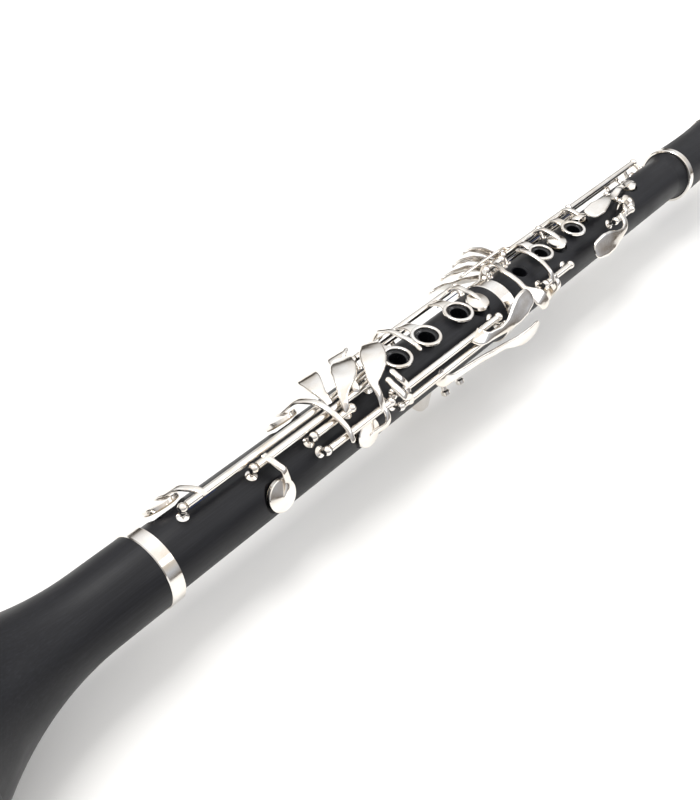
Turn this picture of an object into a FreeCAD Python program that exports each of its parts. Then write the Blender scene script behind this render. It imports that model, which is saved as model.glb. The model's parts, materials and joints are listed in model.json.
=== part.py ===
"""A B-flat clarinet of the Boehm system, as a parametric FreeCAD document.

Frame, in millimetres: the bore's axis is X, from the bell's mouth at x = 0 to the mouthpiece's tip.
+Z is the side that the finger holes face and +Y is the player's right-hand side.
A place on the instrument is given as x, an angle about the axis (0 at +Z, positive towards +Y) and
a radius from the axis. Every key is drawn as it rests: closed keys closed, open keys open.
"""

import FreeCAD
import Part
import Sketcher

import math
import os

V = FreeCAD.Vector
X_DIR = V(1, 0, 0)
ORIGIN = V(0, 0, 0)

DIMENSIONS = [
    ("Lengths along the bore", None),
    ("bell_len", 106.0), ("lower_end", 338.0), ("upper_end", 528.0), ("barrel_end", 593.0), ("tip_x", 668.0),
    ("Bell", None),
    ("bell_rim_r", 40.0), ("bell_rim_w", 3.0), ("bell_flare_r", 38.2), ("bell_mouth_r", 36.4), ("bell_neck_x", 74.0),
    ("bell_neck_r", 16.9), ("bell_throat_r", 11.4), ("bell_socket", 20.0), ("bell_socket_r", 13.4),
    ("bell_ring_w", 7.0), ("bell_ring_r", 17.4), ("bell_ring_seat_r", 16.2),
    ("Lower joint", None),
    ("low_bottom_r", 15.0), ("low_top_r", 14.3), ("low_flare_x", 324.0), ("low_head_r", 15.7), ("low_ring_w", 6.6),
    ("low_ring_r", 16.2), ("low_ring_seat_r", 14.9), ("low_socket_r", 11.9), ("low_socket", 15.0),
    ("low_tenon", 19.0), ("low_tenon_r", 13.3), ("low_bore_flare_x", 205.0), ("low_bore_end_r", 11.2),
    ("Upper joint", None),
    ("up_ring_w", 2.6), ("up_ring_r", 15.6), ("up_ring_seat_r", 13.2), ("up_bottom_r", 14.0), ("up_top_r", 12.9),
    ("up_flare_w", 8.0), ("up_head_r", 14.6), ("mid_tenon", 14.5), ("mid_tenon_r", 11.8),
    ("top_tenon", 16.0), ("top_tenon_r", 11.7), ("bore_r", 7.4),
    ("Barrel", None),
    ("barrel_end_r", 15.9), ("barrel_mid_r", 15.1), ("barrel_ring_w", 4.2), ("barrel_ring_r", 16.4),
    ("barrel_ring_seat_r", 15.0), ("barrel_socket", 16.5), ("barrel_low_socket_r", 11.8), ("barrel_top_socket_r", 11.0),
    ("Mouthpiece, reed and ligature", None),
    ("mouth_tenon", 16.0), ("mouth_tenon_r", 10.9), ("mouth_collar_r", 14.4), ("mouth_collar_w", 2.5),
    ("mouth_r", 13.7), ("mouth_cone", 29.0), ("mouth_tip_r", 11.6), ("mouth_bore", 41.0),
    ("table_drop", 10.3), ("table_run", 7.0), ("lay_run", 20.0), ("tip_opening", 1.1), ("beak_run", 36.0),
    ("tip_wall", 1.1), ("window_w", 11.0), ("rail_t", 1.6), ("reed_run", 7.6), ("reed_w", 12.6), ("reed_heel_w", 11.2),
    ("reed_t", 2.9), ("reed_tip_t", 0.2), ("reed_vamp", 36.0), ("band_run", 12.0), ("band_w", 24.0), ("band_r", 13.9),
    ("band_t", 0.7), ("band_gap", 3.0), ("lug_h", 5.0), ("lug_w", 2.6), ("band_screw_r", 1.3), ("band_screw_gap", 13.0),
    ("band_knob_r", 3.6), ("band_knob_w", 5.0),
    ("Corks", None),
    ("cork_t", 0.9), ("cork_margin", 2.2), ("cork_proud", 0.05),
    ("Finger holes: place, hole radius, chimney, ring", None),
    ("hole_three_x", 256.0), ("hole_two_x", 278.5), ("hole_one_x", 304.5), ("left_three_x", 359.5),
    ("left_two_x", 379.0), ("left_one_x", 411.5), ("thumb_x", 412.0), ("finger_hole_r", 4.2), ("plain_hole_r", 3.9),
    ("chimney_r", 5.3), ("chimney_low_z", 16.3), ("chimney_up_z", 15.6), ("chimney_depth", 3.0),
    ("up_chimney_r", 4.5), ("up_hole_r", 3.7), ("ring_gap", 0.6), ("ring_w", 1.8), ("ring_t", 1.5),
    ("Hinges and posts", None),
    ("rod_r", 1.0), ("tube_r", 1.7), ("tube_bore_r", 1.05), ("ball_r", 2.2), ("ball_half_w", 1.7), ("stem_r", 1.15),
    ("foot_r", 2.6), ("foot_h", 1.3), ("foot_sunk", 0.4), ("post_depth", 1.9), ("post_gap", 0.2), ("spring_r", 0.3),
    ("spring_len", 17.0), ("spring_drop", 3.2), ("pin_a", -144.0), ("pin_r", 1.4), ("pin_knob_r", 2.3),
    ("pin_knob_w", 3.2), ("pin_top_r", 23.0), ("pin_one_x", 287.0), ("pin_two_x", 299.0),
    ("Hinge lines of the lower joint: angle, radius", None),
    ("line_one_a", 3.0), ("line_two_a", -10.0), ("line_three_a", -22.5), ("front_line_r", 20.6),
    ("line_right_a", -46.0), ("line_lever_a", -44.0), ("line_outer_a", -60.0), ("right_line_r", 20.2),
    ("line_rings_a", 58.0), ("rings_line_r", 20.0), ("line_sliver_a", 80.0), ("sliver_line_r", 19.0),
    ("Hinge lines of the upper joint: angle, radius", None),
    ("line_uprings_a", 50.0), ("uprings_line_r", 19.2), ("line_arc_a", 42.0), ("arc_line_r", 18.4),
    ("line_cross_a", -50.0), ("cross_line_r", 18.8), ("line_gsharp_a", -38.0), ("gsharp_line_r", 18.8),
    ("line_thumb_a", 150.0), ("thumb_line_r", 18.0), ("line_side_a", 68.0), ("side_step_a", 14.0),
    ("side_line_r", 18.8), ("throat_pivot_x", 453.0), ("throat_pivot_r", 17.4), ("register_pivot_x", 468.0),
    ("register_pivot_r", 17.6), ("saddle_half_w", 4.4),
    ("Padded holes: cup radius, cup and pad heights, seat", None),
    ("eb_cup_r", 8.6), ("fc_cup_r", 8.2), ("fs_cup_r", 7.6), ("ab_cup_r", 7.0), ("ringpad_cup_r", 5.9),
    ("middle_cup_r", 5.3), ("small_cup_r", 4.6), ("cup_wall", 0.35), ("cup_roof", 0.6), ("cup_bevel", 0.4),
    ("cup_cone", 1.3), ("pad_t", 2.2), ("pad_proud", 0.9), ("pad_gap", 0.04), ("hole_share", 0.66), ("seat_below", 0.9),
    ("seat_rim", 1.1), ("pocket_depth", 0.9), ("pocket_gap", 0.9),
    ("Places of the padded holes: distance along the bore and angle", None),
    ("eb_x", 122.0), ("eb_a", 58.0), ("fs_x", 163.0), ("fs_a", -64.0), ("fc_x", 192.0), ("fc_a", 58.0),
    ("ab_x", 219.0), ("ab_a", -74.0), ("sliver_x", 281.0), ("sliver_a", 110.0), ("ringpad_x", 318.6),
    ("ringpad_a", -6.0), ("arc_x", 352.0), ("arc_a", 84.0), ("cross_x", 371.0), ("cross_a", -82.0),
    ("twin_x", 394.5), ("twin_a", -1.0), ("upper_x", 425.0), ("upper_a", 20.0), ("gsharp_x", 463.0),
    ("gsharp_a", -23.0), ("throat_x", 478.0), ("throat_a", 12.0), ("register_x", 500.0), ("register_a", 180.0),
    ("side_one_x", 508.0), ("side_two_x", 490.0), ("side_three_x", 440.0), ("side_four_x", 424.0),
    ("Opening of the keys that rest open, in degrees", None),
    ("eb_open", 9.0), ("fc_open", 5.0), ("ring_open", 4.0), ("upring_open", 4.0), ("thumb_open", 4.0),
    ("Thumb rest", None),
    ("rest_x", 283.0), ("rest_len", 24.0), ("rest_half_a", 26.0), ("rest_t", 1.5), ("hook_reach", 35.0),
    ("hook_w", 13.0), ("hook_t", 2.2), ("strap_x", 268.0), ("strap_hole_r", 2.6), ("strap_ring_r", 4.7),
    ("strap_ring_t", 2.2), ("screw_r", 1.2), ("screw_head_r", 2.3), ("screw_head_h", 0.9), ("screw_spacing", 15.0),
]

doc = FreeCAD.newDocument("clarinet")
dims = doc.addObject("Spreadsheet::Sheet", "dims")


def fill_sheet():
    """Writes one row for each driving dimension, with its name as the value cell's alias."""
    for row, (name, value) in enumerate(DIMENSIONS, start=1):
        dims.set(f"A{row}", name)
        if value is not None:
            dims.set(f"B{row}", str(value))
            dims.setAlias(f"B{row}", name)
    doc.recompute()


fill_sheet()
D = {name: float(dims.get(name)) for name, size in DIMENSIONS if size is not None}
LINES = {
    "one": (D["line_one_a"], D["front_line_r"]),
    "two": (D["line_two_a"], D["front_line_r"]),
    "three": (D["line_three_a"], D["front_line_r"]),
    "right": (D["line_right_a"], D["right_line_r"]),
    "lever": (D["line_lever_a"], D["right_line_r"]),
    "outer": (D["line_outer_a"], D["right_line_r"]),
    "rings": (D["line_rings_a"], D["rings_line_r"]),
    "sliver": (D["line_sliver_a"], D["sliver_line_r"]),
    "uprings": (D["line_uprings_a"], D["uprings_line_r"]),
    "arc": (D["line_arc_a"], D["arc_line_r"]),
    "cross": (D["line_cross_a"], D["cross_line_r"]),
    "gsharp": (D["line_gsharp_a"], D["gsharp_line_r"]),
    "thumb": (D["line_thumb_a"], D["thumb_line_r"]),
}
for i in range(4):
    LINES[f"side_{i + 1}"] = (D["line_side_a"] + i * D["side_step_a"], D["side_line_r"])


def value(text):
    """The number that a sum of dimension names and numbers stands for, such as 'bell_len - 2'."""
    total, sign = 0.0, 1.0
    for word in text.split():
        if word in "+-":
            sign = 1.0 if word == "+" else -1.0
        else:
            total += sign * (float(dims.get(word)) if word[0].isalpha() else float(word))
    return total


def formula(text):
    """The same sum as a FreeCAD expression on the spreadsheet."""
    return " ".join("dims." + word if word[0].isalpha() else word for word in text.split())


parts = {}


def keep(label, item):
    """Records a document object as the sub-part of that name."""
    item.Label = label
    parts[label] = item
    return item


def feature(label, shape):
    """A sub-part whose shape is free-form or a group, made with Part's own functions."""
    item = doc.addObject("Part::Feature", label)
    item.Shape = shape
    item.Placement = shape.Placement
    return keep(label, item)


# ---------------------------------------------------------------- turned pieces

def turned_body(name, outline):
    """A body of revolution about X. Each corner of the outline is (x, radius), as sums of dimensions.

    A third entry of "arc" makes the stretch from that corner to the next one an arc that leaves the
    corner parallel to X, and "arc_end" one that reaches the next corner parallel to X.
    """
    body = doc.addObject("PartDesign::Body", name)
    sketch = body.newObject("Sketcher::SketchObject", name + "_outline")
    plane = next(f for f in body.Origin.OriginFeatures if f.Role == "XZ_Plane")
    sketch.AttachmentSupport = [(plane, "")]
    sketch.MapMode = "FlatFace"
    corners = [V(value(c[0]), value(c[1]), 0) for c in outline]
    count = len(corners)
    ends = []
    for i, corner in enumerate(outline):
        a, b = corners[i], corners[(i + 1) % count]
        if len(corner) == 3:
            flat, far = (a, b) if corner[2] == "arc" else (b, a)
            dx, dy = far.x - flat.x, far.y - flat.y
            radius = (dx * dx + dy * dy) / (2 * dy)
            centre = V(flat.x, flat.y + radius, 0)
            start = math.atan2(a.y - centre.y, a.x - centre.x)
            end = math.atan2(b.y - centre.y, b.x - centre.x)
            forward = (end - start) % (2 * math.pi) < math.pi
            low, high = (start, end) if forward else (end, start)
            circle = Part.Circle(centre, V(0, 0, 1), abs(radius))
            sketch.addGeometry(Part.ArcOfCircle(circle, low, high), False)
            ends.append((1, 2) if forward else (2, 1))
        else:
            sketch.addGeometry(Part.LineSegment(a, b), False)
            ends.append((1, 2))
    bindings = []
    for i, corner in enumerate(outline):
        j = (i + 1) % count
        sketch.addConstraint(Sketcher.Constraint("Coincident", i, ends[i][1], j, ends[j][0]))
        if abs(corners[i].x) < 1e-9:
            sketch.addConstraint(Sketcher.Constraint("PointOnObject", i, ends[i][0], -2))
        else:
            k = sketch.addConstraint(Sketcher.Constraint("DistanceX", -1, 1, i, ends[i][0], corners[i].x))
            bindings.append((k, corner[0]))
        if abs(corners[i].y) < 1e-9:
            sketch.addConstraint(Sketcher.Constraint("PointOnObject", i, ends[i][0], -1))
        else:
            k = sketch.addConstraint(Sketcher.Constraint("DistanceY", -1, 1, i, ends[i][0], corners[i].y))
            bindings.append((k, corner[1]))
    for i, corner in enumerate(outline):
        if len(corner) == 3:
            flat = i if corner[2] == "arc" else (i + 1) % count
            sketch.addConstraint(Sketcher.Constraint("Vertical", i, 3, flat, ends[flat][0]))
    for k, text in bindings:
        sketch.setExpression(f"Constraints[{k}]", formula(text))
    turn = body.newObject("PartDesign::Revolution", name + "_turn")
    turn.Profile = sketch
    turn.ReferenceAxis = (next(f for f in body.Origin.OriginFeatures if f.Role == "X_Axis"), [""])
    turn.Angle = 360.0
    body.Tip = turn
    return body


def turned(label, outline):
    """A sub-part that is only turned."""
    return keep(label, turned_body(label, outline))


def cut_from(label, body, tools, added=None):
    """A sub-part that is a turned body, with pieces added to it and then tools cut from it."""
    base = body
    if added:
        more = doc.addObject("Part::Feature", label + "_added")
        more.Shape = Part.makeCompound(added)
        base = doc.addObject("Part::MultiFuse", label + "_whole")
        base.Shapes = [body, more]
    cutter = doc.addObject("Part::Feature", label + "_cutters")
    cutter.Shape = tools[0].multiFuse(tools[1:])
    cut = doc.addObject("Part::Cut", label + "_cut")
    cut.Base = base
    cut.Tool = cutter
    return keep(label, cut)


# ---------------------------------------------------------------- places and shapes

def outward(angle):
    """The unit vector that points away from the bore at that angle, in degrees."""
    turn = math.radians(angle)
    return V(0, math.sin(turn), math.cos(turn))


def at(x, angle, radius):
    """The point at x along the bore, at that angle about it and that radius from it."""
    return V(x, 0, 0) + outward(angle) * radius


def joint_r(x):
    """The outside radius of the lower or upper joint at x, away from its rings and sockets."""
    if x < D["lower_end"]:
        share = (x - D["bell_len"]) / (D["low_flare_x"] - D["bell_len"])
        return D["low_bottom_r"] + (D["low_top_r"] - D["low_bottom_r"]) * share
    start = D["lower_end"] + D["up_ring_w"]
    share = (x - start) / (D["upper_end"] - D["up_flare_w"] - start)
    return D["up_bottom_r"] + (D["up_top_r"] - D["up_bottom_r"]) * share


def standing(shape, x, angle, radius):
    """The shape, drawn about +Z at the origin, stood on that place so that its +Z points outward."""
    shape.Placement = FreeCAD.Placement(at(x, angle, radius), FreeCAD.Rotation(V(0, 0, 1), outward(angle)))
    return shape


def lathe(profile):
    """A solid turned about +Z from a closed list of (radius, height)."""
    points = [V(r, 0, z) for r, z in profile]
    face = Part.Face(Part.makePolygon(points + points[:1]))
    return face.revolve(ORIGIN, V(0, 0, 1), 360)


def rod(x_start, x_end, angle, radius, thick):
    """A round bar parallel to the bore."""
    return Part.makeCylinder(thick, x_end - x_start, at(x_start, angle, radius), X_DIR)


def swung(shape, x, angle, radius, degrees, axis=X_DIR):
    """The shape turned by that many degrees about a hinge that passes through that place."""
    turned_shape = shape.copy()
    turned_shape.rotate(at(x, angle, radius), axis, degrees)
    return turned_shape


SECTION_POINTS = 12
SECTION_POWER = 0.62
ARC_STEP = 12.0
RUN_STEP = 8.0
BLADE_STEP = 2.0
TIP_STEPS = ((0.45, 0.9), (0.8, 0.62), (0.98, 0.22))


def section(centre, across, out, width, thick):
    """A rounded, flattened closed curve of that width and thickness about the centre."""
    points = []
    for i in range(SECTION_POINTS):
        turn = 2 * math.pi * i / SECTION_POINTS
        c, s = math.cos(turn), math.sin(turn)
        u = math.copysign(abs(c) ** SECTION_POWER, c) * width / 2
        w = math.copysign(abs(s) ** SECTION_POWER, s) * thick / 2
        points.append(centre + across * u + out * w)
    curve = Part.BSplineCurve()
    curve.interpolate(points, PeriodicFlag=True)
    return curve


def skinned(curves):
    """The solid whose skin passes through the closed curves, with a flat cap at each end."""
    surface = Part.BSplineSurface()
    surface.buildFromNSections(curves)
    side = surface.toShape()
    caps = [Part.Face(Part.Wire([edge])) for edge in side.Edges if edge.isClosed()]
    shell = Part.makeShell([side] + caps)
    shell.sewShape()
    solid = Part.makeSolid(shell)
    if solid.Volume < 0:
        solid.reverse()
    return solid


def refined(stations):
    """The stations with more put between those that are far apart, so that bars follow them closely."""
    full = [stations[0]]
    for a, b in zip(stations, stations[1:]):
        steps = max(1, math.ceil(abs(b[1] - a[1]) / ARC_STEP), math.ceil((at(*b[:3]) - at(*a[:3])).Length / RUN_STEP))
        for i in range(1, steps + 1):
            full.append(tuple(p + (q - p) * i / steps for p, q in zip(a, b)))
    return full


def tip(end, inner):
    """The shrinking sections that round off a bar beyond its end section."""
    ahead = (end[0] - inner[0]).normalize()
    width, thick = end[1:]
    return [(end[0] + ahead * (width / 2 * step), width * part, thick * max(part, 0.5)) for step, part in TIP_STEPS]


def evened(path):
    """The path with its stations evenly spaced on a smooth curve, so that the skin doesn't ripple."""
    lengths = [0.0]
    for a, b in zip(path, path[1:]):
        lengths.append(lengths[-1] + (b[0] - a[0]).Length)
    curve = Part.BSplineCurve()
    curve.interpolate([station[0] for station in path], Parameters=lengths)
    count = max(3, round(lengths[-1] / BLADE_STEP))
    even = []
    for i in range(count + 1):
        run = lengths[-1] * i / count
        j = max(k for k in range(len(path) - 1) if lengths[k] <= run + 1e-9)
        share = (run - lengths[j]) / (lengths[j + 1] - lengths[j])
        sizes = [path[j][k] + (path[j + 1][k] - path[j][k]) * share for k in (1, 2)]
        even.append((curve.value(run), *sizes))
    return even


def blade(stations, round_start=False, round_end=False):
    """A bar of changing section through stations of (x, angle, radius, width, thickness)."""
    path = evened([(at(*s[:3]), s[3], s[4]) for s in refined(stations)])
    first = tip(path[0], path[1])[::-1] if round_start else []
    last = tip(path[-1], path[-2]) if round_end else []
    path = first + path + last
    curves = []
    for i, (point, width, thick) in enumerate(path):
        along = (path[min(i + 1, len(path) - 1)][0] - path[max(i - 1, 0)][0]).normalize()
        away = V(0, point.y, point.z).normalize()
        across = along.cross(away).normalize()
        curves.append(section(point, across, across.cross(along).normalize(), width, thick))
    return skinned(curves)


FUSE_TOLERANCES = (0.0, 0.002, 0.005, 0.01, 0.02)


def fused(shapes):
    """One solid made of the shapes, with the smallest tolerance that joins them all soundly."""
    for tolerance in FUSE_TOLERANCES:
        whole = shapes[0].multiFuse(shapes[1:], tolerance)
        sound = whole.isValid() and len(whole.Solids) == 1
        if sound and whole.Volume > max(shape.Volume for shape in shapes):
            return whole.Solids[0]
    raise RuntimeError("the shapes of a key do not join")


# ---------------------------------------------------------------- padded keys

def cup(x, angle, seat_r, cup_r):
    """A pad cup with a low pointed roof, over a seat at that radius."""
    pocket_r = cup_r - D["cup_wall"]
    roof = D["pad_t"] + D["cup_roof"]
    profile = [
        (cup_r, D["pad_proud"]), (cup_r, roof - D["cup_bevel"]), (cup_r - D["cup_bevel"], roof),
        (0, roof + D["cup_cone"]), (0, D["pad_t"]), (pocket_r, D["pad_t"]), (pocket_r, D["pad_proud"]),
    ]
    return standing(lathe(profile), x, angle, seat_r)


def pad(x, angle, seat_r, cup_r):
    """The pad that fills the cup and closes the seat."""
    disc = Part.makeCylinder(cup_r - D["cup_wall"], D["pad_t"] - D["pad_gap"], V(0, 0, D["pad_gap"]))
    return standing(disc, x, angle, seat_r)


def seat_r(x):
    """The distance from the axis to the rim that a pad at x closes."""
    return joint_r(x) - D["seat_below"]


def cup_top(x):
    """The radius of the tip of a cup's roof at x."""
    return seat_r(x) + D["pad_t"] + D["cup_roof"] + D["cup_cone"]


def ring(x, hole_r, height):
    """A finger ring about a hole that faces +Z, with its top at that height above the axis."""
    inner = hole_r + D["ring_gap"]
    outer = inner + D["ring_w"]
    low = height - D["ring_t"]
    band = Part.makeCylinder(outer, D["ring_t"], V(x, 0, low)).cut(Part.makeCylinder(inner, D["ring_t"], V(x, 0, low)))
    edges = [e for e in band.Edges if isinstance(e.Curve, Part.Circle)]
    return band.makeFillet(D["ring_t"] * 0.35, edges)


def tube(x_start, x_end, line):
    """The outside of a key's hinge tube on a hinge line."""
    angle, radius = LINES[line]
    return rod(x_start, x_end, angle, radius, D["tube_r"])


def key(label, line, x_start, x_end, shapes):
    """A key: its hinge tube with its arms, cups and touches, bored for its hinge rod."""
    angle, radius = LINES[line]
    whole = fused([tube(x_start, x_end, line)] + shapes)
    bore = rod(x_start - 1, x_end + 1, angle, radius, D["tube_bore_r"])
    return feature(label, whole.cut(bore))


# ---------------------------------------------------------------- posts, rods and springs

# Each post is (hinge line, x). A post between two tubes on one line carries both.
LOWER_POSTS = [
    ("one", 121.0), ("one", 237.0), ("two", 156.0), ("two", 231.0), ("three", 188.0), ("three", 213.0),
    ("right", 190.0), ("right", 233.5), ("lever", 241.0), ("lever", 319.0), ("outer", 238.0), ("outer", 322.0),
    ("rings", 244.5), ("rings", 326.0), ("sliver", 260.0), ("sliver", 291.0),
]
UPPER_POSTS = [
    ("arc", 346.0), ("arc", 359.5), ("uprings", 365.0), ("uprings", 400.0), ("uprings", 431.0), ("cross", 362.5),
    ("cross", 387.0), ("gsharp", 438.0), ("gsharp", 455.5), ("thumb", 392.0), ("thumb", 414.5), ("side_1", 361.0),
    ("side_1", 513.0), ("side_2", 361.0), ("side_2", 495.0), ("side_3", 361.0), ("side_3", 446.0), ("side_4", 361.0),
    ("side_4", 430.0),
]
# Each rod is (hinge line, first post, last post).
LOWER_RODS = [
    ("one", 121.0, 237.0), ("two", 156.0, 231.0), ("three", 188.0, 213.0), ("right", 190.0, 233.5),
    ("lever", 241.0, 319.0), ("outer", 238.0, 322.0), ("rings", 244.5, 326.0), ("sliver", 260.0, 291.0),
]
UPPER_RODS = [
    ("arc", 346.0, 359.5), ("uprings", 365.0, 431.0), ("cross", 362.5, 387.0), ("gsharp", 438.0, 455.5),
    ("thumb", 392.0, 414.5), ("side_1", 361.0, 513.0), ("side_2", 361.0, 495.0), ("side_3", 361.0, 446.0),
    ("side_4", 361.0, 430.0),
]


def post_root(x):
    """The radius of the joint's surface that a post's foot is let into."""
    return joint_r(x) - D["foot_sunk"]


def post(x, angle, line_r):
    """A turned post: screwed shank, foot, waisted stem and a ball with two flats, bored for the rod."""
    low = post_root(x)
    rise = line_r - low
    foot, stem = D["foot_r"], D["stem_r"]
    profile = [
        (0, -D["post_depth"]), (stem, -D["post_depth"]), (stem, 0), (foot, 0), (foot, D["foot_h"] * 0.7),
        (foot * 0.72, D["foot_h"]), (stem, D["foot_h"] + 0.3), (stem, rise), (0, rise),
    ]
    ball = Part.makeSphere(D["ball_r"], V(0, 0, rise))
    side = 2 * D["ball_r"]
    slab = Part.makeBox(2 * D["ball_half_w"], side, side, V(-D["ball_half_w"], -D["ball_r"], rise - D["ball_r"]))
    whole = lathe(profile).fuse(ball.common(slab))
    whole = whole.cut(Part.makeCylinder(D["rod_r"], side, V(-D["ball_r"], 0, rise), X_DIR))
    turn = FreeCAD.Rotation(X_DIR, -angle)
    whole.Placement = FreeCAD.Placement(at(x, angle, low), turn)
    return whole


def post_socket(x, angle):
    """The hole in the joint that a post's shank and foot fill."""
    shank = Part.makeCylinder(D["stem_r"], D["post_depth"] + 0.1, V(0, 0, -D["post_depth"]))
    return standing(shank.fuse(Part.makeCylinder(D["foot_r"], D["foot_h"] + 2)), x, angle, post_root(x))


def back_pins():
    """The two short turned pins with knobs on the back of the lower joint."""
    pins = []
    stem, knob, edge = D["pin_r"], D["pin_knob_r"], D["pin_knob_w"] * 0.25
    for x in (D["pin_one_x"], D["pin_two_x"]):
        low = post_root(x) - D["post_depth"]
        top = D["pin_top_r"] - low
        neck = top - D["pin_knob_w"]
        profile = [(0, 0), (stem, 0), (stem, neck), (knob - edge, neck), (knob, neck + edge), (knob, top - edge),
                   (knob - edge, top), (0, top)]
        pins.append(standing(lathe(profile), x, D["pin_a"], low))
    return pins


def pin_holes():
    """The holes that the pins on the back fill."""
    low = [post_root(x) - D["post_depth"] for x in (D["pin_one_x"], D["pin_two_x"])]
    return [rod_up(x, D["pin_a"], r, r + 5, D["pin_r"]) for x, r in zip((D["pin_one_x"], D["pin_two_x"]), low)]


def posts(label, places, others=()):
    """All the posts of one joint, as separate solids of one node."""
    return feature(label, Part.makeCompound([post(x, *LINES[line]) for line, x in places] + list(others)))


def hinge_rods(label, rods, others=()):
    """The steel rods that the keys turn on."""
    reach = D["ball_half_w"]
    solids = [rod(a - reach, b + reach, *LINES[line], D["rod_r"]) for line, a, b in rods]
    return feature(label, Part.makeCompound(solids + list(others)))


# ---------------------------------------------------------------- tone holes

LOWER_FINGERS = [D["hole_three_x"], D["hole_two_x"], D["hole_one_x"]]
UPPER_FINGERS = [D["left_two_x"], D["left_one_x"]]


# Each padded hole is (x, angle, cup radius).
def padded_holes():
    """The padded holes of the lower and of the upper joint."""
    low = [
        (D["eb_x"], D["eb_a"], D["eb_cup_r"]), (D["fs_x"], D["fs_a"], D["fs_cup_r"]),
        (D["fc_x"], D["fc_a"], D["fc_cup_r"]), (D["ab_x"], D["ab_a"], D["ab_cup_r"]),
        (D["sliver_x"], D["sliver_a"], D["middle_cup_r"]), (D["ringpad_x"], D["ringpad_a"], D["ringpad_cup_r"]),
    ]
    high = [
        (D["arc_x"], D["arc_a"], D["middle_cup_r"]), (D["cross_x"], D["cross_a"], D["middle_cup_r"]),
        (D["twin_x"], D["twin_a"], D["middle_cup_r"]), (D["upper_x"], D["upper_a"], D["small_cup_r"]),
        (D["gsharp_x"], D["gsharp_a"], D["small_cup_r"]), (D["throat_x"], D["throat_a"], D["small_cup_r"]),
        (D["register_x"], D["register_a"], D["small_cup_r"]),
    ]
    names = ("side_one_x", "side_two_x", "side_three_x", "side_four_x")
    high += [(D[name], side_pad_angle(i), D["small_cup_r"]) for i, name in enumerate(names)]
    return low, high


def side_pad_angle(i):
    """The angle of a side key's pad, beyond its hinge line."""
    return D["line_side_a"] + i * D["side_step_a"] + 26.0


def seat_rims(holes):
    """The raised rims that the pads close."""
    rims = []
    for x, angle, cup_r in holes:
        rim_r = cup_r * D["hole_share"] + D["seat_rim"]
        rims.append(rod_up(x, angle, seat_r(x) - D["pocket_depth"] - 0.4, seat_r(x), rim_r))
    return rims


def rod_up(x, angle, low, high, thick):
    """A round bar that points outward, between two radii."""
    return Part.makeCylinder(thick, high - low, at(x, angle, low), outward(angle))


def seat_cutters(holes):
    """The flat pockets about the rims, and the holes through them."""
    cutters = []
    for x, angle, cup_r in holes:
        hole_r = cup_r * D["hole_share"]
        seat = seat_r(x)
        clear = rod_up(x, angle, seat - D["pocket_depth"], seat + 4, cup_r + D["pocket_gap"])
        clear = clear.cut(rod_up(x, angle, seat - D["pocket_depth"] - 1, seat, hole_r + D["seat_rim"]))
        cutters.append(clear.fuse(rod_up(x, angle, 1, seat + 1, hole_r)))
    return cutters


def chimney_seats(places, height, outer_r, hole_r):
    """The seats of the finger holes' chimneys, with the holes below them."""
    cutters = []
    for x in places:
        low = joint_r(x) - D["chimney_depth"]
        cutters.append(rod_up(x, 0, low, height, outer_r).fuse(rod_up(x, 0, 1, low + 1, hole_r)))
    return cutters


def chimneys(label, places, height, outer_r, hole_r, angle=0):
    """The raised tubes that the fingers stop, one solid each."""
    solids = []
    for x in places:
        low = joint_r(x) - D["chimney_depth"]
        lip = 0.5
        tall = height - low
        profile = [(hole_r, 0), (outer_r, 0), (outer_r, tall - lip), (outer_r - lip, tall), (hole_r + lip, tall),
                   (hole_r, tall - lip)]
        solids.append(standing(lathe(profile), x, angle, low))
    return feature(label, Part.makeCompound(solids))


# ---------------------------------------------------------------- the black pieces

def tenon_outline(start, end, tenon_r):
    """The corners of a corked tenon that runs from x = start to x = end, both as sums of dimensions."""
    low = f"{tenon_r} - cork_t"
    return [
        (start, tenon_r), (f"{start} + cork_margin", tenon_r), (f"{start} + cork_margin", low),
        (f"{end} - cork_margin", low), (f"{end} - cork_margin", tenon_r), (end, tenon_r),
    ]


def tenon_corks():
    """The four sleeves of cork that fill the tenons' grooves."""
    sleeves = []
    for number, (start, end, tenon_r) in enumerate((
            ("bell_len - low_tenon", "bell_len", "low_tenon_r"),
            ("lower_end - mid_tenon", "lower_end", "mid_tenon_r"),
            ("upper_end", "upper_end + top_tenon", "top_tenon_r"),
            ("barrel_end - mouth_tenon", "barrel_end", "mouth_tenon_r"))):
        a, b = f"{start} + cork_margin", f"{end} - cork_margin"
        low, high = f"{tenon_r} - cork_t", f"{tenon_r} + cork_proud"
        sleeves.append(turned_body(f"cork_{number + 1}", [(a, low), (b, low), (b, high), (a, high)]))
    grouped("tenon_corks", sleeves)


def ring_outline(start, end, inner_r, outer_r):
    """The corners of a silver ring let into the end of a joint, with its edges broken."""
    edge = "0.4"
    return [
        (start, inner_r), (end, inner_r), (end, f"{outer_r} - {edge}"), (f"{end} - {edge}", outer_r),
        (f"{start} + {edge}", outer_r), (start, f"{outer_r} - {edge}"),
    ]


def grouped(label, bodies):
    """One sub-part made of several turned bodies."""
    group = doc.addObject("Part::Compound", label)
    group.Links = bodies
    return keep(label, group)


def bell():
    """The bell, its ring and the socket for the lower joint."""
    floor = "bell_len - bell_socket"
    turned("bell", [
        ("0", "bell_rim_r - 0.8"), ("0.8", "bell_rim_r"), ("bell_rim_w", "bell_rim_r"),
        ("bell_rim_w + 1.6", "bell_flare_r", "arc_end"), ("bell_neck_x", "bell_neck_r"),
        ("bell_len - bell_ring_w", "bell_neck_r"), ("bell_len - bell_ring_w", "bell_ring_seat_r"),
        ("bell_len", "bell_ring_seat_r"), ("bell_len", "bell_socket_r"), (floor, "bell_socket_r"),
        (floor, "bell_throat_r", "arc"), ("0", "bell_mouth_r"),
    ])
    turned("bell_ring", ring_outline("bell_len - bell_ring_w", "bell_len", "bell_ring_seat_r", "bell_ring_r"))


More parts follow.
